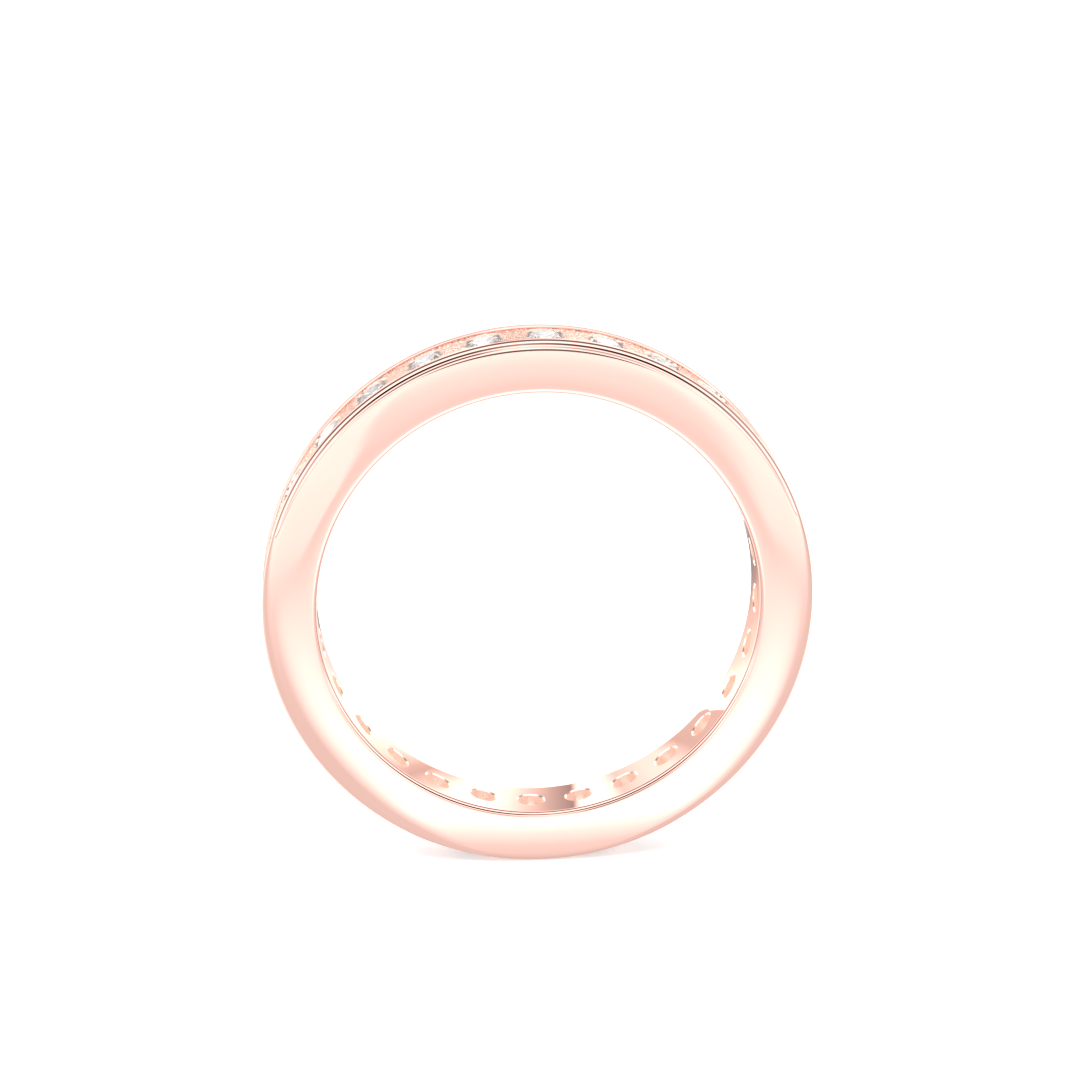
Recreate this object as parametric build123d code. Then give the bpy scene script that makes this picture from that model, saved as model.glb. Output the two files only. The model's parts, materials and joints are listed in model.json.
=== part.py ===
from build123d import *
import os
from math import atan2, cos, degrees, radians, sin, tan

# A channel-style eternity band: one cast band and a full row of round brilliants.
# Lengths are in millimetres and angles in degrees.
# The ring's axis is +Y and +Z is up, so the band stands on its edge.
# The origin is the centre of the finger hole.

# Band
finger_diameter = 17.35      # US ring size 7
wall_thickness = 2.125       # from the finger hole to the crown of the rails
band_width = 2.8
finger_edge_radius = 0.22    # soft edge between a side face and the finger hole
rail_edge_radius = 0.34      # soft edge between a side face and a rail's crown
side_land_inner = 9.5        # a side face is flat between these two radii
side_land_outer = 9.9
side_fall = 0.04             # how far a side face falls away beside its flat land

# Channel between the two rails
channel_width = 2.0
channel_depth = 0.11
rail_lip_radius = 0.04       # where a rail's crown meets the channel
channel_root_radius = 0.03   # where the channel's wall meets its floor

# Row of stones
stone_count = 28
first_stone_angle = 1.7      # the top stone stands this far round from +Z towards +X
stone_diameter = 1.7
table_below_crown = 0.12     # how far a table lies inside the crown of the rails
seam_after_stone = 13        # the band's seam lies just past this stone

# Round brilliant cut
crown_angle = 34.5
pavilion_angle = 40.75
table_share = 0.57           # table width across its corners, as a share of the diameter
star_share = 0.5             # length of a star facet across the crown
lower_half_share = 0.77      # length of a lower girdle facet down the pavilion
girdle_height = 0.06
girdle_sides = 32

# Seat of a stone
seat_clearance = 0.01        # gap between a stone and the metal
lip_overlap = 0.03           # how far the burnished lip closes over the girdle
mouth_flare = 0.03           # how much wider the cut is at the channel's floor
bearing_angle = 45           # slope of the cone that the pavilion stands in
azure_diameter = 1.05        # hole under each stone, open to the finger
azure_chamfer = 0.04

# Sizes that follow from the ones above
finger_radius = finger_diameter / 2
crown_radius = finger_radius + wall_thickness
floor_radius = crown_radius - channel_depth
stone_radius = stone_diameter / 2
table_radius = table_share * stone_radius
girdle_half = girdle_height / 2
crown_height = (stone_radius - table_radius) * tan(radians(crown_angle))
girdle_plane = crown_radius - table_below_crown - crown_height - girdle_half


def polar(radius, azimuth, height):
    """A point of the stone, whose own axis is +Z."""
    turn = radians(azimuth)
    return Vector(radius * cos(turn), radius * sin(turn), height)


def cut_facets(stone, side, count, first, slope, radius, height):
    """Cut a ring of equal facets; side is +1 for the crown and -1 for the pavilion."""
    lean = radians(slope)
    for step in range(count):
        azimuth = first + step * 360 / count
        normal = polar(sin(lean), azimuth, side * cos(lean))
        facet = Plane(origin=polar(radius, azimuth, side * height), z_dir=normal)
        stone = split(stone, bisect_by=facet, keep=Keep.BOTTOM)
    return stone


def round_brilliant():
    """A round brilliant with its girdle's middle at the origin and its table up."""
    half_step = 360 / 16
    quarter_step = 360 / 32
    table_edge = table_radius * cos(radians(half_step))
    table_height = girdle_half + crown_height

    star_tip = table_edge + star_share * (stone_radius - table_edge)
    star_rise = (stone_radius - star_tip * cos(radians(half_step))) * tan(radians(crown_angle))
    star_slope = degrees(atan2(crown_height - star_rise, star_tip - table_edge))
    chord = cos(radians(quarter_step))
    upper_slope = degrees(atan2(star_rise, (stone_radius - star_tip) * chord))

    lower_tip = (1 - lower_half_share) * stone_radius
    lower_drop = (stone_radius - lower_tip * cos(radians(half_step))) * tan(radians(pavilion_angle))
    lower_slope = degrees(atan2(lower_drop, (stone_radius - lower_tip) * chord))

    blank_depth = 2 * stone_radius
    outline = RegularPolygon(radius=stone_radius, side_count=girdle_sides)
    blank = Pos(0, 0, table_height - blank_depth) * extrude(outline, amount=blank_depth)
    stone = cut_facets(blank, 1, 8, 0, crown_angle, stone_radius, girdle_half)
    stone = cut_facets(stone, 1, 8, half_step, star_slope, table_edge, table_height)
    stone = cut_facets(stone, 1, 16, quarter_step, upper_slope, stone_radius * chord, girdle_half)
    stone = cut_facets(stone, -1, 8, 0, pavilion_angle, stone_radius, girdle_half)
    stone = cut_facets(stone, -1, 16, quarter_step, lower_slope, stone_radius * chord, girdle_half)
    return stone


def band_section():
    """Section of the band: X is the radius from the finger's axis and Y is along that axis."""
    half_width = band_width / 2
    half_channel = channel_width / 2
    edge = half_width - side_fall
    with BuildSketch() as section:
        with BuildLine():
            Line((finger_radius, 0), (finger_radius, edge))
            TangentArc((side_land_inner, half_width), (finger_radius, edge), tangent=(-1, 0))
            Line((side_land_inner, half_width), (side_land_outer, half_width))
            TangentArc((side_land_outer, half_width), (crown_radius, edge), tangent=(1, 0))
            Line((crown_radius, edge), (crown_radius, half_channel))
            Line((crown_radius, half_channel), (floor_radius, half_channel))
            Line((floor_radius, half_channel), (floor_radius, 0))
            Line((floor_radius, 0), (finger_radius, 0))
        make_face()
        corners = section.vertices()
        fillet(corners.sort_by_distance((finger_radius, edge))[0], finger_edge_radius)
        fillet(corners.sort_by_distance((crown_radius, edge))[0], rail_edge_radius)
        fillet(corners.sort_by_distance((crown_radius, half_channel))[0], rail_lip_radius)
        fillet(corners.sort_by_distance((floor_radius, half_channel))[0], channel_root_radius)
        mirror(about=Plane.XZ)
    return section.sketch


def stone_seat():
    """The metal taken out for one stone, in the stone's own frame."""
    bore_depth = girdle_plane - finger_radius
    floor_height = floor_radius - girdle_plane
    seat_radius = stone_radius + seat_clearance
    lip_radius = stone_radius - lip_overlap
    mouth_radius = lip_radius + mouth_flare
    azure_radius = azure_diameter / 2
    over_crown = 1.0
    past_bore = 0.4

    lip_height = girdle_half + lip_overlap + 2 * seat_clearance
    bearing_top = -girdle_half - seat_clearance
    bearing_foot = bearing_top - (seat_radius - azure_radius) * tan(radians(bearing_angle))
    outline = Polyline(
        (0, over_crown),
        (mouth_radius, over_crown),
        (mouth_radius, floor_height),
        (lip_radius, lip_height),
        (seat_radius, girdle_half + seat_clearance),
        (seat_radius, bearing_top),
        (azure_radius, bearing_foot),
        (azure_radius, azure_chamfer - bore_depth),
        (azure_radius + azure_chamfer + past_bore, -bore_depth - past_bore),
        (0, -bore_depth - past_bore),
        (0, over_crown),
    )
    section = make_face(outline)
    return revolve(Plane.XZ * section, axis=Axis.Z)


def around_band(piece, number):
    """Stand a piece that was made on +Z in place number round the band."""
    angle = first_stone_angle + number * 360 / stone_count
    return Rot(0, angle, 0) * Pos(0, 0, girdle_plane) * piece


os.makedirs("parts", exist_ok=True)

# The revolved wall's seam lies midway between two stones, clear of every seat.
pitch = 360 / stone_count
seam_angle = first_stone_angle + (seam_after_stone - 0.5) * pitch
band = Rot(0, seam_angle, 0) * revolve(band_section(), axis=Axis.Y)
seat = stone_seat()
band = band - [around_band(seat, number) for number in range(stone_count)]
export_step(band, "parts/band.step")

stone = round_brilliant()
for number in range(stone_count):
    export_step(around_band(stone, number), f"parts/stone_{number + 1:02d}.step")

print("band volume", round(band.volume, 2), "mm3; stone volume", round(stone.volume, 4), "mm3")
print("stone facets and girdle sides", len(stone.faces()))
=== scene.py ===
import json
from math import atan2, cos, pi, radians, sin, sqrt

import bpy
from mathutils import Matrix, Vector, noise


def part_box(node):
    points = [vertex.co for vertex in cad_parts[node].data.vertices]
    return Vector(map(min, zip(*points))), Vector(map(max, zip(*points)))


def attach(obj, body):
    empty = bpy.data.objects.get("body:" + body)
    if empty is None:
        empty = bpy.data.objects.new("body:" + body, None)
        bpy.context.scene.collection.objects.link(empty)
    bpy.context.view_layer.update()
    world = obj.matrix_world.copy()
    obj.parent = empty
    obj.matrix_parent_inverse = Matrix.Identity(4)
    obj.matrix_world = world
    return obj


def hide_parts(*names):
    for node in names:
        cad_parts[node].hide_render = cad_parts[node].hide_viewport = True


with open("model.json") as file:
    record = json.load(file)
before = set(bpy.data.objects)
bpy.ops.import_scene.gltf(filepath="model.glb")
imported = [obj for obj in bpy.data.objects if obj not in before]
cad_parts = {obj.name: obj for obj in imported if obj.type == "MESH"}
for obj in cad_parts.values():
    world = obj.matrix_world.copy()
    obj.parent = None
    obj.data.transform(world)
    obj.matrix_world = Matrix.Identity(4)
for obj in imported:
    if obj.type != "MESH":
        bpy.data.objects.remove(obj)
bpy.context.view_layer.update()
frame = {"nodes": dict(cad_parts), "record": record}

# The band is modelled with one unit to the millimetre and brought to real size at the end.
mm = 0.001
tiny = 0.001            # places nearer than this, in millimetres, count as one
weld = 0.0005           # and vertices nearer than this are merged
sameAngle = 0.0005      # angles nearer than this, in radians, count as one
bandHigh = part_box("band")[1]
wallThickness = 2.125   # from the finger hole to the crown of the rails
halfWidth = bandHigh.y / mm
fingerHole = next(m for m in frame["record"]["mounts"] if m["name"] == "finger_hole")
boreRadius = fingerHole["dims"]["r_mm"]
crownRadius = boreRadius + wallThickness
stoneNames = sorted(name for name in frame["nodes"] if name.startswith("stone"))
sectorAngle = 2 * pi / len(stoneNames)
print("frame loaded:", len(stoneNames), "stones, crown radius", round(crownRadius, 3), "mm")

cameraSet = {
    "lens": 98.3,
    "sensor": 36,
    "clip": (1, 5000),    # nearest and furthest that it sees, in millimetres
    "azimuth": -4.4,      # degrees round from the front
    "elevation": 18.43,
    "distance": 116.34,   # from the middle of the ring, along the view
    "aside": -0.11,       # how far the middle of the ring sits right of the frame's middle
    "below": 2.248,       # and how far below it
}


def addCamera():
    azimuth, elevation = radians(cameraSet["azimuth"]), radians(cameraSet["elevation"])
    back = Vector((sin(azimuth) * cos(elevation), -cos(azimuth) * cos(elevation), sin(elevation)))
    turn = (-back).to_track_quat("-Z", "Y")
    right, up = turn @ Vector((1, 0, 0)), turn @ Vector((0, 1, 0))
    camera = bpy.data.objects.new("studioCamera", bpy.data.cameras.new("studioCamera"))
    bpy.context.scene.collection.objects.link(camera)
    camera.data.lens = cameraSet["lens"]
    camera.data.sensor_width = cameraSet["sensor"]
    nearest, furthest = cameraSet["clip"]
    camera.data.clip_start = nearest * mm
    camera.data.clip_end = furthest * mm
    place = back * cameraSet["distance"] - right * cameraSet["aside"] + up * cameraSet["below"]
    camera.location = place * mm
    camera.rotation_mode = "QUATERNION"
    camera.rotation_quaternion = turn
    bpy.context.scene.camera = camera


addCamera()


def deselectAll():
    if bpy.context.object and bpy.context.object.mode != "OBJECT":
        bpy.ops.object.mode_set(mode="OBJECT")
    bpy.ops.object.select_all(action="DESELECT")


def selectOnly(piece):
    deselectAll()
    piece.select_set(True)
    bpy.context.view_layer.objects.active = piece


def nameNew(name):
    piece = bpy.context.active_object
    piece.name = name
    piece.data.name = name
    return piece


def pick(piece, kind, wanted):
    # leaves the piece in edit mode with only the wanted verts, edges or faces selected
    bpy.ops.object.mode_set(mode="EDIT")
    bpy.ops.mesh.select_mode(type=kind)
    bpy.ops.mesh.select_all(action="DESELECT")
    bpy.ops.object.mode_set(mode="OBJECT")
    mesh = piece.data
    if kind == "VERT":
        for vert in mesh.vertices:
            vert.select = wanted(vert.co)
    elif kind == "EDGE":
        for edge in mesh.edges:
            a, b = (mesh.vertices[i].co for i in edge.vertices)
            edge.select = wanted(a, b)
    else:
        for face in mesh.polygons:
            face.select = wanted(face.center, face.normal)
    bpy.ops.object.mode_set(mode="EDIT")


def applyModifiers(piece):
    selectOnly(piece)
    for modifier in list(piece.modifiers):
        bpy.ops.object.modifier_apply(modifier=modifier.name)


def toRealSize(piece):
    selectOnly(piece)
    piece.scale = (mm, mm, mm)
    bpy.ops.object.transform_apply(location=True, rotation=True, scale=True)


bandSet = {
    "channelWidth": 2.0,
    "channelDepth": 0.11,
    # soft edges, each with its radius and how many faces go across it
    "boreEdge": (0.22, 9),
    "railEdge": (0.34, 12),
    "railLip": (0.04, 3),
    "channelRoot": (0.03, 2),
    "sideLand": (9.5, 9.9),    # a side face is flat between these radii
    "sideFall": 0.04,          # and falls away this much on either side of them
    "sideCuts": 6,
    "spinSteps": 14,           # faces round the band for each stone
    "floorRows": 10,
    "floorCuts": 2,
}
seatSet = {
    "sides": 48,
    "stoneRadius": 0.85,
    "clearance": 0.01,
    "lip": 0.03,               # how far the burnished lip closes over the stone
    "flare": 0.03,
    "girdleHalf": 0.03,
    "girdlePlane": 10.3988,    # radius at which the girdles lie
    "azureRadius": 0.525,
    "azureChamfer": 0.04,
    "slack": 0.005,            # added to a seat's radius when its faces are looked for
    "firstAngle": 1.7,         # degrees from the top towards +X
}
floorRadius = crownRadius - bandSet["channelDepth"]
halfChannel = bandSet["channelWidth"] / 2


def sideFall(radius):
    inner, outer = bandSet["sideLand"]
    if radius < inner:
        return bandSet["sideFall"] * ((inner - radius) / (inner - boreRadius)) ** 2
    if radius > outer:
        return bandSet["sideFall"] * ((radius - outer) / (crownRadius - outer)) ** 2
    return 0.0


def drawSection():
    # a flat plate as tall as the wall and as wide as the band, with the channel bitten out
    deselectAll()
    bpy.ops.mesh.primitive_plane_add(size=1)
    section = nameNew("bandSection")
    bpy.ops.object.mode_set(mode="EDIT")
    bpy.ops.transform.resize(value=(crownRadius - boreRadius, 2 * halfWidth, 1))
    bpy.ops.transform.translate(value=((crownRadius + boreRadius) / 2, 0, 0))
    for place, normal in (((0, halfChannel, 0), (0, 1, 0)), ((0, -halfChannel, 0), (0, 1, 0)),
                          ((floorRadius, 0, 0), (1, 0, 0))):
        bpy.ops.mesh.select_all(action="SELECT")
        bpy.ops.mesh.bisect(plane_co=place, plane_no=normal)
    pick(section, "FACE", lambda middle, normal: middle.x > floorRadius and abs(middle.y) < halfChannel)
    bpy.ops.mesh.delete(type="FACE")
    bpy.ops.mesh.select_all(action="SELECT")
    bpy.ops.mesh.dissolve_faces()
    pick(section, "VERT", lambda co: abs(co.x - floorRadius) < tiny and abs(co.y) > halfChannel + tiny
         or abs(co.x - boreRadius) < tiny and abs(co.y) < halfWidth - tiny)
    bpy.ops.mesh.dissolve_verts()

    for x, y, edge in ((boreRadius, halfWidth, "boreEdge"), (crownRadius, halfWidth, "railEdge"),
                       (crownRadius, halfChannel, "railLip"), (floorRadius, halfChannel, "channelRoot")):
        radius, steps = bandSet[edge]
        pick(section, "VERT", lambda co: abs(co.x - x) < tiny and abs(abs(co.y) - y) < tiny)
        bpy.ops.mesh.bevel(offset=radius, segments=steps, affect="VERTICES")
    bpy.ops.mesh.select_all(action="SELECT")
    bpy.ops.mesh.delete(type="ONLY_FACE")
    pick(section, "EDGE", lambda a, b: abs(a.y - b.y) < tiny and abs(abs(a.y) - halfWidth) < tiny)
    bpy.ops.mesh.subdivide(number_cuts=bandSet["sideCuts"])
    pick(section, "EDGE", lambda a, b: max(abs(a.x - floorRadius), abs(b.x - floorRadius)) < tiny
         and abs(a.y - b.y) > halfChannel)
    bpy.ops.mesh.subdivide(number_cuts=bandSet["floorRows"] - 1)
    bpy.ops.object.mode_set(mode="OBJECT")
    # the side faces are slightly domed, and the soft edges follow them
    for vert in section.data.vertices:
        start = halfWidth - bandSet["railEdge"][0]
        share = max(0.0, (abs(vert.co.y) - start) / (halfWidth - start))
        vert.co.y -= share * sideFall(vert.co.x) * (1 if vert.co.y > 0 else -1)
    bpy.ops.object.mode_set(mode="EDIT")
    return section


def cutterForSeat():
    # drawn on +Z: a disc above the crown, extruded and scaled down through the wall
    plane, girdle = seatSet["girdlePlane"], seatSet["girdleHalf"]
    seat = seatSet["stoneRadius"] + seatSet["clearance"]
    lip = seatSet["stoneRadius"] - seatSet["lip"]
    azure = seatSet["azureRadius"]
    overCrown, pastBore = 0.5, 0.4
    outline = [
        (lip + seatSet["flare"], crownRadius + overCrown),
        (lip + seatSet["flare"], floorRadius),
        (lip, plane + girdle + seatSet["lip"] + 2 * seatSet["clearance"]),
        (seat, plane + girdle + seatSet["clearance"]),
        (seat, plane - girdle - seatSet["clearance"]),
        (azure, plane - girdle - seatSet["clearance"] - (seat - azure)),
        (azure, boreRadius + seatSet["azureChamfer"]),
        (azure + seatSet["azureChamfer"] + pastBore, boreRadius - pastBore),
    ]
    radius, height = outline[0]
    deselectAll()
    bpy.ops.mesh.primitive_circle_add(vertices=seatSet["sides"], radius=radius, fill_type="NGON",
                                      location=(0, 0, height))
    cutter = nameNew("seatCutter")
    bpy.ops.object.transform_apply()
    bpy.ops.object.mode_set(mode="EDIT")
    bpy.ops.mesh.select_all(action="SELECT")
    for nextRadius, nextHeight in outline[1:]:
        drop, scale = nextHeight - height, nextRadius / radius
        bpy.ops.mesh.extrude_region_move(TRANSFORM_OT_translate={"value": (0, 0, drop)})
        bpy.ops.transform.resize(value=(scale, scale, 1))
        radius, height = nextRadius, nextHeight
    bpy.ops.mesh.select_all(action="SELECT")
    bpy.ops.mesh.normals_make_consistent(inside=False)
    bpy.ops.object.mode_set(mode="OBJECT")
    return cutter


def nearAngle(co, turn):
    return abs(atan2(co.z, co.x) - turn) < sameAngle


def onSectorEnd(middle, normal):
    # the sector's flat ends face straight round the band
    outward = normal.x * middle.x + normal.z * middle.z
    square = 0.01
    return ((nearAngle(middle, 0) or nearAngle(middle, sectorAngle))
            and abs(normal.y) < square and abs(outward) < square)


def cutSeat(band):
    # the sector's two open ends are closed while the seat is cut, then opened again
    middle = sectorAngle / 2
    for turn in (0, sectorAngle):
        pick(band, "EDGE", lambda a, b: nearAngle(a, turn) and nearAngle(b, turn))
        bpy.ops.mesh.edge_face_add()
    bpy.ops.mesh.select_all(action="SELECT")
    bpy.ops.mesh.normals_make_consistent(inside=False)
    cutter = cutterForSeat()
    cutter.rotation_euler = (0, pi / 2 - middle, 0)
    bpy.ops.object.transform_apply(rotation=True)
    difference = band.modifiers.new("seat", "BOOLEAN")
    difference.operation = "DIFFERENCE"
    difference.solver = "EXACT"
    difference.object = cutter
    applyModifiers(band)
    bpy.data.objects.remove(cutter)
    selectOnly(band)
    pick(band, "FACE", onSectorEnd)
    bpy.ops.mesh.delete(type="FACE")


grainSet = {
    "grain": 0.11,         # size of one pit
    "height": 0.024,
    "fine": (2.1, 0.5),    # a second noise is this much finer, and counts this much
    "fade": 0.05,          # how far from a wall or a stone the grain reaches its full height
    "facing": 0.98,        # a face of the floor looks at least this squarely outwards
    "within": 0.04,        # and lies this near to the floor's radius
}


def onFloor(middle, normal):
    radius = sqrt(middle.x ** 2 + middle.z ** 2)
    outward = (normal.x * middle.x + normal.z * middle.z) / radius
    return (outward > grainSet["facing"] and abs(radius - floorRadius) < grainSet["within"]
            and abs(middle.y) < halfChannel)


def fromStoneAxis(co, radius):
    # how far a place lies from the axis of the stone in its sector, measured at this radius
    turn = (atan2(co.z, co.x) % sectorAngle) - sectorAngle / 2
    return sqrt((turn * radius) ** 2 + co.y ** 2)


def grainFloor(band):
    # shallow pits and bumps, fading out at the walls and round each stone
    finer, share = grainSet["fine"]
    for vert in band.data.vertices:
        radius = sqrt(vert.co.x ** 2 + vert.co.z ** 2)
        if abs(radius - floorRadius) > 2 * tiny:
            continue
        toStone = fromStoneAxis(vert.co, floorRadius) - seatSet["stoneRadius"]
        toWall = halfChannel - bandSet["channelRoot"][0] - abs(vert.co.y)
        fade = max(0.0, min(1.0, min(toStone, toWall) / grainSet["fade"]))
        place = vert.co / grainSet["grain"]
        height = noise.noise(place) + share * noise.noise(place * finer)
        grown = radius + grainSet["height"] * fade * height
        vert.co.x *= grown / radius
        vert.co.z *= grown / radius


def makeBand():
    band = drawSection()
    bpy.ops.mesh.select_all(action="SELECT")
    bpy.ops.mesh.spin(steps=bandSet["spinSteps"], angle=sectorAngle, center=(0, 0, 0), axis=(0, 1, 0))
    bpy.ops.mesh.select_all(action="SELECT")
    bpy.ops.mesh.remove_doubles(threshold=weld)
    cutSeat(band)
    pick(band, "FACE", onFloor)
    bpy.ops.mesh.quads_convert_to_tris()
    for level in range(bandSet["floorCuts"]):
        bpy.ops.mesh.subdivide(number_cuts=1)
    bpy.ops.mesh.select_all(action="SELECT")
    bpy.ops.mesh.spin(steps=len(stoneNames) - 1, angle=2 * pi - sectorAngle, dupli=True,
                      center=(0, 0, 0), axis=(0, 1, 0))
    bpy.ops.mesh.select_all(action="SELECT")
    bpy.ops.mesh.remove_doubles(threshold=weld)
    bpy.ops.mesh.select_all(action="SELECT")
    bpy.ops.mesh.normals_make_consistent(inside=False)
    bpy.ops.object.mode_set(mode="OBJECT")
    return band


band = makeBand()
grainFloor(band)
print("band modelled:", len(band.data.vertices), "verts")


def newMaterial(name):
    material = bpy.data.materials.new(name)
    material.use_nodes = True
    nodes, links = material.node_tree.nodes, material.node_tree.links
    shader = next(node for node in nodes if node.type == "BSDF_PRINCIPLED")
    coords = nodes.new("ShaderNodeTexCoord")
    return material, nodes, links, shader, coords.outputs["Object"]


noiseSet = {
    "detail": 3.0,
    "span": (0.3, 0.7),    # nearly all of the noise lies between these
}


def mottle(nodes, links, coords, grain, low, high):
    # a noise of the given grain in millimetres, turned into a value from low to high
    noiseNode = nodes.new("ShaderNodeTexNoise")
    noiseNode.inputs["Scale"].default_value = 1 / (grain * mm)
    noiseNode.inputs["Detail"].default_value = noiseSet["detail"]
    links.new(coords, noiseNode.inputs["Vector"])
    reach = nodes.new("ShaderNodeMapRange")
    reach.inputs["From Min"].default_value, reach.inputs["From Max"].default_value = noiseSet["span"]
    reach.inputs["To Min"].default_value = low
    reach.inputs["To Max"].default_value = high
    links.new(noiseNode.outputs["Fac"], reach.inputs["Value"])
    return reach.outputs["Result"]


def twoTones(nodes, links, factor, first, second):
    mix = nodes.new("ShaderNodeMix")
    mix.data_type = "RGBA"
    mix.inputs["A"].default_value = (*first, 1)
    mix.inputs["B"].default_value = (*second, 1)
    links.new(factor, mix.inputs["Factor"])
    return mix.outputs["Result"]


goldSet = {
    "colours": ((0.935, 0.590, 0.515), (0.925, 0.575, 0.500)),
    "glancing": (0.97, 0.74, 0.66),    # how the colour holds where it is seen edge on
    "polish": (0.02, 0.035),           # roughness of the mirror polish
    "polishSizes": (4.0, 1.2),         # sizes of the mottling in the colour and in the polish
    "grained": ((0.94, 0.75, 0.68), (0.70, 0.45, 0.38)),
    "grainedPolish": (0.18, 0.42),
    "grainedSizes": (0.07, 0.09, 0.06),    # the same, and the size of the bumps
    "grainedBump": (1.0, 0.02),        # strength of the bumps and their height in millimetres
    # the seats' paler colours are painted light: a lit copy of the gold standing in for light the stones pass
    # down to them
    "seat": ((0.98, 0.85, 0.78), (0.94, 0.78, 0.71)),
    "seatPolish": (0.10, 0.22),
    "seatSizes": (0.3, 0.2),
    # a faint glow of the seats' own is painted light, standing in for what the stones pass down to them
    "seatGlow": (1.0, 0.80, 0.72),
    "seatGlowStrength": 0.16,
}


def polishedGold():
    material, nodes, links, shader, coords = newMaterial("polishedRoseGold")
    toneSize, polishSize = goldSet["polishSizes"]
    tone = mottle(nodes, links, coords, toneSize, 0, 1)
    links.new(twoTones(nodes, links, tone, *goldSet["colours"]), shader.inputs["Base Color"])
    links.new(mottle(nodes, links, coords, polishSize, *goldSet["polish"]), shader.inputs["Roughness"])
    shader.inputs["Metallic"].default_value = 1
    shader.inputs["Specular Tint"].default_value = (*goldSet["glancing"], 1)
    return material


def grainedGold():
    material, nodes, links, shader, coords = newMaterial("grainedRoseGold")
    toneSize, polishSize, bumpSize = goldSet["grainedSizes"]
    strength, bumpHeight = goldSet["grainedBump"]
    tone = mottle(nodes, links, coords, toneSize, 0, 1)
    links.new(twoTones(nodes, links, tone, *goldSet["grained"]), shader.inputs["Base Color"])
    roughness = mottle(nodes, links, coords, polishSize, *goldSet["grainedPolish"])
    links.new(roughness, shader.inputs["Roughness"])
    bump = nodes.new("ShaderNodeBump")
    bump.inputs["Strength"].default_value = strength
    bump.inputs["Distance"].default_value = bumpHeight * mm
    links.new(mottle(nodes, links, coords, bumpSize, 0, 1), bump.inputs["Height"])
    links.new(bump.outputs["Normal"], shader.inputs["Normal"])
    shader.inputs["Metallic"].default_value = 1
    shader.inputs["Specular Tint"].default_value = (*goldSet["glancing"], 1)
    return material


# the seats: a paler, glowing copy of the gold, painted light for what the stones pass down into them
def paintedLightSeatGold():
    material, nodes, links, shader, coords = newMaterial("brightCutRoseGold")
    toneSize, polishSize = goldSet["seatSizes"]
    tone = mottle(nodes, links, coords, toneSize, 0, 1)
    links.new(twoTones(nodes, links, tone, *goldSet["seat"]), shader.inputs["Base Color"])
    roughness = mottle(nodes, links, coords, polishSize, *goldSet["seatPolish"])
    links.new(roughness, shader.inputs["Roughness"])
    shader.inputs["Metallic"].default_value = 1
    shader.inputs["Emission Color"].default_value = (*goldSet["seatGlow"], 1)
    shader.inputs["Emission Strength"].default_value = goldSet["seatGlowStrength"]
    return material


def inSeat(middle, normal):
    # inside a stone's seat or azure, told by how near the face lies to the stone's own axis
    radius = sqrt(middle.x ** 2 + middle.z ** 2)
    reach = seatSet["stoneRadius"] + seatSet["clearance"] + seatSet["slack"]
    return fromStoneAxis(middle, radius) < reach and boreRadius + tiny < radius < floorRadius - tiny


turnSet = {
    "sectors": 6.5,        # the middle of the seventh sector is brought under the first stone
    "smoothBelow": 32,     # edges flatter than this many degrees are shaded smooth
}


def turnAndScale(band):
    selectOnly(band)
    band.rotation_euler = (0, -radians(90 - seatSet["firstAngle"]) + turnSet["sectors"] * sectorAngle, 0)
    bpy.ops.object.transform_apply(rotation=True)
    toRealSize(band)
    bpy.ops.object.shade_smooth_by_angle(angle=radians(turnSet["smoothBelow"]))


def dressBand(band):
    band.name = band.data.name = "roseGoldBand"
    for material in (polishedGold(), grainedGold(), paintedLightSeatGold()):
        band.data.materials.append(material)
    for index, wanted in ((2, inSeat), (1, onFloor)):
        pick(band, "FACE", wanted)
        band.active_material_index = index
        bpy.ops.object.material_slot_assign()
    turnAndScale(band)
    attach(band, "root")
    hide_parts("band")


dressBand(band)
print("band dressed in", [material.name for material in band.data.materials])


diamondSet = {
    "tints": ((0.86, 0.94, 1.0), (0.78, 0.88, 0.97)),
    "toneSize": 1.5,
    "roughness": 0.0,
    "ior": 2.417,
}


def diamond():
    material, nodes, links, shader, coords = newMaterial("whiteDiamond")
    tone = mottle(nodes, links, coords, diamondSet["toneSize"], 0, 1)
    links.new(twoTones(nodes, links, tone, *diamondSet["tints"]), shader.inputs["Base Color"])
    shader.inputs["Roughness"].default_value = diamondSet["roughness"]
    shader.inputs["IOR"].default_value = diamondSet["ior"]
    shader.inputs["Transmission Weight"].default_value = 1
    return material


diamondMaterial = diamond()
for name in stoneNames:
    for slot in frame["nodes"][name].material_slots:
        slot.link = "OBJECT"
        slot.material = diamondMaterial
print("stones:", len(stoneNames), "in", diamondMaterial.name)


floorSet = {
    "reach": 900,                   # half its width in millimetres
    "tones": ((0.84, 0.845, 0.85), (0.86, 0.862, 0.865)),
    "toneSize": 60,
    "roughness": 0.9,
    "gloss": 0.1,
    "glow": 0.40,                   # the floor gives some light of its own, so shadows stay faint
}
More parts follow.
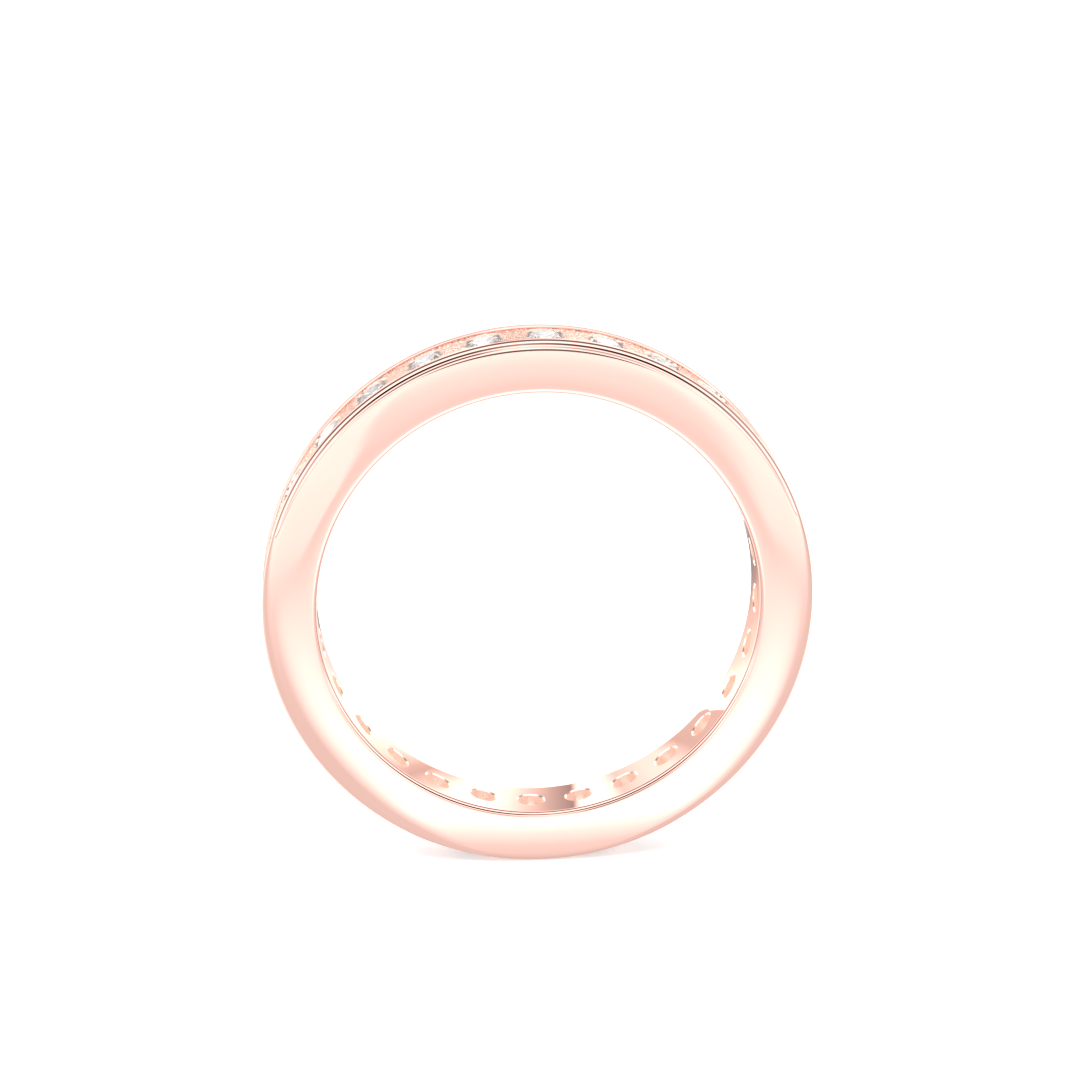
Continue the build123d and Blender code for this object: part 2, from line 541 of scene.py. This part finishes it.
# a glowing card laid on the floor in front, seen only in reflections
cardSet = {
    # its brightness, by how far it lies in front of the band's near face: dimmer close to the band, a painted
    # contact shadow, and nearly dark from 169 to 212 mm, a painted dark band, both seen only in reflections
    "glow": ((0, 0.86), (1.5, 1.14), (3, 1.55), (5, 2.1), (15, 2.1), (23, 1.7), (31, 1.4), (38, 1.14),
             (47, 1.10), (62, 1.20), (78, 1.34), (100, 1.52), (130, 1.6), (163, 1.6), (169, 0.15),
             (212, 0.15), (226, 1.6), (400, 1.6)),
    # and the same beside the bright middle
    "outer": ((0, 0.92), (5, 0.95), (12, 0.95), (20, 1.0), (30, 1.16), (42, 1.48), (60, 1.58), (100, 1.65),
              (165, 1.65), (168, 0.15), (215, 0.15), (226, 1.6), (400, 1.6)),
    # how wide the middle opens towards -X and towards +X, close to the band and further out
    "spread": ((5.2, 10.5), (0.6, 4.5)),
    "across": 3,                    # the spread towards -X turns into the one towards +X this far each side
    "further": (28, 45),            # how far in front the close spread turns into the further one
    "mouth": 0.8,                   # how far behind the near face the middle starts to open
    "softEdge": (0.6, 1.3),         # the middle fades out between these, where 1 is its outline
    "brightest": 2.2,
}


def maths(nodes, links, operation, *values):
    node = nodes.new("ShaderNodeMath")
    node.operation = operation
    for socket, value in zip(node.inputs, values):
        if hasattr(value, "links"):
            links.new(value, socket)
        else:
            socket.default_value = value
    return node.outputs["Value"]


def smooth(nodes, links, value, low, high, start=0.0, end=1.0):
    node = nodes.new("ShaderNodeMapRange")
    node.interpolation_type = "SMOOTHSTEP"
    links.new(value, node.inputs["Value"])
    for name, setting in (("From Min", low), ("From Max", high), ("To Min", start), ("To Max", end)):
        node.inputs[name].default_value = setting
    return node.outputs["Result"]


def floorMaterial():
    material, nodes, links, shader, coords = newMaterial("paleFloor")
    tone = mottle(nodes, links, coords, floorSet["toneSize"], 0, 1)
    links.new(twoTones(nodes, links, tone, *floorSet["tones"]), shader.inputs["Base Color"])
    shader.inputs["Roughness"].default_value = floorSet["roughness"]
    shader.inputs["Specular IOR Level"].default_value = floorSet["gloss"]
    shader.inputs["Emission Color"].default_value = (1, 1, 1, 1)
    shader.inputs["Emission Strength"].default_value = floorSet["glow"]
    return material


def fillRamp(ramp, stops):
    elements = ramp.color_ramp.elements
    while len(elements) > 1:
        elements.remove(elements[0])
    for index, (place, value) in enumerate(stops):
        element = elements[0] if index == 0 else elements.new(place)
        element.position = place
        element.color = (value, value, value, 1)


def cardMaterial():
    material, nodes, links, shader, coords = newMaterial("glowingCard")

    def sums(operation, *values):
        return maths(nodes, links, operation, *values)

    split = nodes.new("ShaderNodeSeparateXYZ")
    links.new(coords, split.inputs["Vector"])
    aside = sums("DIVIDE", split.outputs["X"], mm)
    inFront = sums("MAXIMUM", sums("SUBTRACT", sums("DIVIDE", split.outputs["Y"], -mm), halfWidth), 0.0)
    longest = cardSet["glow"][-1][0]
    brightest, across = cardSet["brightest"], cardSet["across"]
    # equal steps of the ramp are equal steps of the square root of the distance
    share = sums("SQRT", sums("DIVIDE", inFront, longest))
    ramps = []
    for stops in (cardSet["glow"], cardSet["outer"]):
        ramp = nodes.new("ShaderNodeValToRGB")
        fillRamp(ramp, [(sqrt(distance / longest), value / brightest) for distance, value in stops])
        links.new(share, ramp.inputs["Fac"])
        ramps.append(sums("MULTIPLY", ramp.outputs["Color"], brightest))
    wide = [smooth(nodes, links, aside, -across, across, left, right) for left, right in cardSet["spread"]]
    further = smooth(nodes, links, inFront, *cardSet["further"])
    spread = sums("ADD", sums("MULTIPLY", wide[1], further),
                  sums("MULTIPLY", wide[0], sums("SUBTRACT", 1.0, further)))
    opened = sums("MULTIPLY", spread, sums("ADD", inFront, cardSet["mouth"]))
    edge = sums("DIVIDE", sums("MULTIPLY", aside, aside), opened)
    glow = nodes.new("ShaderNodeMix")
    links.new(smooth(nodes, links, edge, *cardSet["softEdge"]), glow.inputs["Factor"])
    links.new(ramps[0], glow.inputs["A"])
    links.new(ramps[1], glow.inputs["B"])
    shader.inputs["Base Color"].default_value = (0, 0, 0, 1)
    shader.inputs["Specular IOR Level"].default_value = 0
    shader.inputs["Emission Color"].default_value = (1, 1, 1, 1)
    links.new(glow.outputs["Result"], shader.inputs["Emission Strength"])
    return material


def addSheet(name, material, reachX, nearY, farY, height):
    deselectAll()
    bpy.ops.mesh.primitive_plane_add(size=1)
    sheet = nameNew(name)
    bpy.ops.object.mode_set(mode="EDIT")
    bpy.ops.mesh.select_all(action="SELECT")
    bpy.ops.transform.resize(value=(2 * reachX, farY - nearY, 1))
    bpy.ops.transform.translate(value=(0, (nearY + farY) / 2, height))
    bpy.ops.object.mode_set(mode="OBJECT")
    sheet.data.materials.append(material)
    return sheet


def addFloor():
    reach, height = floorSet["reach"] * mm, -crownRadius * mm
    floor = addSheet("paleFloor", floorMaterial(), reach, -reach, reach, height)
    floor.visible_glossy = False
    floor.visible_transmission = False
    card = addSheet("glowingCard", cardMaterial(), reach, -reach, 0, height)
    for seen in ("camera", "diffuse", "transmission", "shadow", "volume_scatter"):
        setattr(card, "visible_" + seen, False)


addFloor()


studioSet = {
    "dome": 2.1,                    # brightness of the white surround
    "throughStones": 0.34,          # share of it that light leaving a stone meets
    "bounces": 24,                  # polished walls, seats and stones pass light between them many times
    "glossyBounces": 16,
    "backFrom": (0.62, 0.84),       # the back fades in between these places along the ring's axis
    "backTop": 2.6,                 # its greatest brightness
    "hoopEdge": (0.5, 1.5),         # a hoop fades out between these shares of its half width
    # brightness straight behind the ring, by angle round its axis from the right, over the top
    "behind": ((-180, 2.3), (-172, 2.6), (-160, 2.1), (-150, 1.6), (-138, 1.35), (-128, 1.10), (-119, 1.02),
               (-108, 0.62), (-96, 0.45), (-86, 0.42), (-78, 0.50), (-71, 1.05), (-59, 1.25), (-48, 1.6),
               (-35, 2.3), (-20, 2.5), (3, 1.7), (14, 1.0), (20, 0.86), (31, 1.42), (42, 2.4),
               (62, 2.1), (75, 1.28), (86, 0.80), (97, 0.48), (101, 2.4), (112, 2.3), (121, 1.2), (136, 1.62),
               (146, 1.68), (158, 0.88), (169, 0.95)),
    # dark hoops round the ring's axis: (place along it, half width, brightness left in it,
    # how deep it is by the same angle)
    "hoops": (
        (-0.60, 0.17, 0.0, ((-180, 0.4), (-120, 0.0), (-30, 0.2), (0, 0.5), (25, 0.8), (42, 1.0), (60, 1.0),
                             (76, 0.95), (90, 0.75), (105, 0.95), (120, 1.0), (135, 1.0), (150, 0.85),
                             (165, 0.6), (180, 0.4))),
        (-0.93, 0.055, 0.0, ((-180, 0.0), (0, 0.0), (30, 0.6), (60, 0.75), (75, 0.4), (90, 0.4), (105, 0.95),
                             (125, 0.95), (145, 0.8), (165, 0.4), (180, 0.0))),
        (0.26, 0.30, 0.04, ((-180, 0.6), (-90, 0.2), (0, 0.7), (60, 0.95), (150, 0.95), (180, 0.7))),
    ),
}


def addWorld():
    world = bpy.data.worlds.new("studio")
    bpy.context.scene.world = world
    world.use_nodes = True
    nodes, links = world.node_tree.nodes, world.node_tree.links
    background = next(node for node in nodes if node.type == "BACKGROUND")
    split = nodes.new("ShaderNodeSeparateXYZ")
    links.new(nodes.new("ShaderNodeTexCoord").outputs["Generated"], split.inputs["Vector"])

    def sums(operation, *values):
        return maths(nodes, links, operation, *values)

    def byRoll(stops, top):
        ramp = nodes.new("ShaderNodeValToRGB")
        fillRamp(ramp, [((angle + 180) / 360, value / top) for angle, value in stops])
        links.new(rollShare, ramp.inputs["Fac"])
        return sums("MULTIPLY", ramp.outputs["Color"], top)

    roll = sums("ARCTAN2", split.outputs["Z"], split.outputs["X"])
    rollShare = sums("MULTIPLY_ADD", roll, 1 / (2 * pi), 0.5)
    along = split.outputs["Y"]
    behind = smooth(nodes, links, along, *studioSet["backFrom"])
    light = sums("ADD", sums("MULTIPLY", byRoll(studioSet["behind"], studioSet["backTop"]), behind),
                 sums("MULTIPLY", sums("SUBTRACT", 1.0, behind), studioSet["dome"]))
    for place, half, left, stops in studioSet["hoops"]:
        away = sums("ABSOLUTE", sums("SUBTRACT", along, place))
        full, gone = (half * edge for edge in studioSet["hoopEdge"])
        shade = sums("MULTIPLY", smooth(nodes, links, away, full, gone, 1, 0), byRoll(stops, 1.0))
        light = sums("MULTIPLY", light, sums("SUBTRACT", 1.0, sums("MULTIPLY", shade, 1 - left)))
    lightPath = nodes.new("ShaderNodeLightPath")
    lost = sums("MULTIPLY", lightPath.outputs["Is Transmission Ray"], 1 - studioSet["throughStones"])
    light = sums("MULTIPLY", light, sums("SUBTRACT", 1.0, lost))
    links.new(light, background.inputs["Strength"])
    background.inputs["Color"].default_value = (1, 1, 1, 1)


addWorld()
cycles = bpy.context.scene.cycles
cycles.max_bounces = cycles.transmission_bounces = studioSet["bounces"]
cycles.glossy_bounces = studioSet["glossyBounces"]


lightSet = {
    "place": (-60, -90, 260),       # millimetres from the middle of the ring
    "size": 240,
    "watts": 0.9,
}


def addSoftLight():
    light = bpy.data.lights.new("softbox", "AREA")
    light.shape = "DISK"
    light.size = lightSet["size"] * mm
    light.energy = lightSet["watts"]
    softbox = bpy.data.objects.new("softbox", light)
    bpy.context.scene.collection.objects.link(softbox)
    place = Vector(lightSet["place"]) * mm
    softbox.location = place
    softbox.rotation_mode = "QUATERNION"
    softbox.rotation_quaternion = (-place).to_track_quat("-Z", "Y")
    softbox.visible_glossy = False
    softbox.visible_transmission = False


addSoftLight()
bpy.context.scene.view_settings.view_transform = "Standard"
print("floor, surround and softbox in place")
